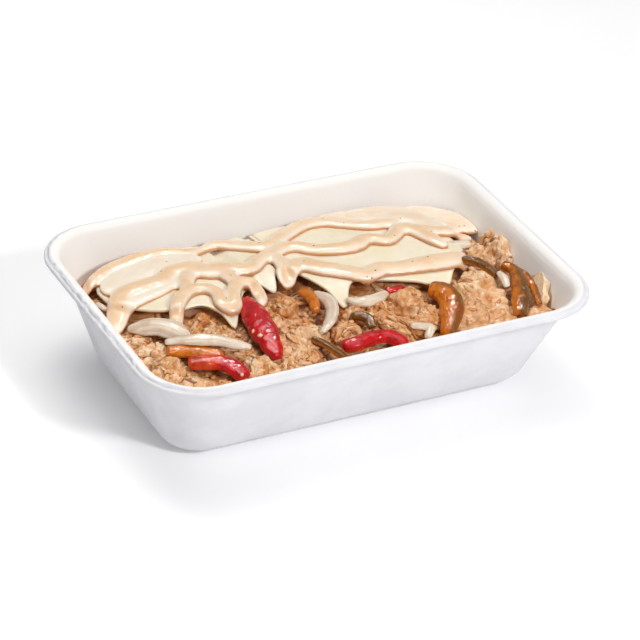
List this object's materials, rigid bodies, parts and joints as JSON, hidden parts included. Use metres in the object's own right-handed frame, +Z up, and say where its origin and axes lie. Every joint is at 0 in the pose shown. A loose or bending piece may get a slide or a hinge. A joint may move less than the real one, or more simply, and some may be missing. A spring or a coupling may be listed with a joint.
{
  "type": "moulded fibre tray meal",
  "caption": "Open rectangular moulded fibre food tray filled with pulled meat, pepper and onion strips, topped with cheese slices and poured creamy sauce.",
  "frame": {"origin": "centre of the tray's base, on the surface it stands on", "axes": "+X along the tray's length, +Y across it towards the covered side, +Z up"},
  "size_m": [0.235, 0.162, 0.0568],
  "materials": {
    "moulded_fibre": "matt white pressed plant fibre, finely pitted",
    "pulled_meat": "moist roast poultry, tan with browned edges",
    "white_cheese": "soft satin ivory slice",
    "creamy_sauce": "glossy peach cream with dark specks",
    "red_pepper": "wet glossy crimson skin",
    "amber_pepper": "wet translucent amber flesh",
    "olive_pepper": "wet olive brown skin",
    "onion": "translucent cooked onion"
  },
  "bodies": {
    "root": {"tray": "moulded_fibre", "meat_heap": "pulled_meat", "cheese_left": "white_cheese", "cheese_middle": "white_cheese", "cheese_right": "white_cheese", "sauce": "creamy_sauce", "red_pepper_tall": "red_pepper", "red_pepper_bent": "red_pepper", "red_pepper_bright": "red_pepper", "red_pepper_bit": "red_pepper", "amber_pepper_left": "amber_pepper", "amber_pepper_shaded": "amber_pepper", "amber_pepper_large": "amber_pepper", "amber_pepper_arc": "amber_pepper", "olive_pepper_front": "olive_pepper", "olive_pepper_curl": "olive_pepper", "olive_pepper_right": "olive_pepper", "olive_pepper_end": "olive_pepper", "olive_pepper_edge": "olive_pepper", "onion_petal": "onion", "onion_long": "onion", "onion_arc": "onion", "onion_crescent": "onion", "onion_hook": "onion", "onion_tucked": "onion", "onion_wedge": "onion", "onion_edge": "onion"}
  },
  "joints": []
}
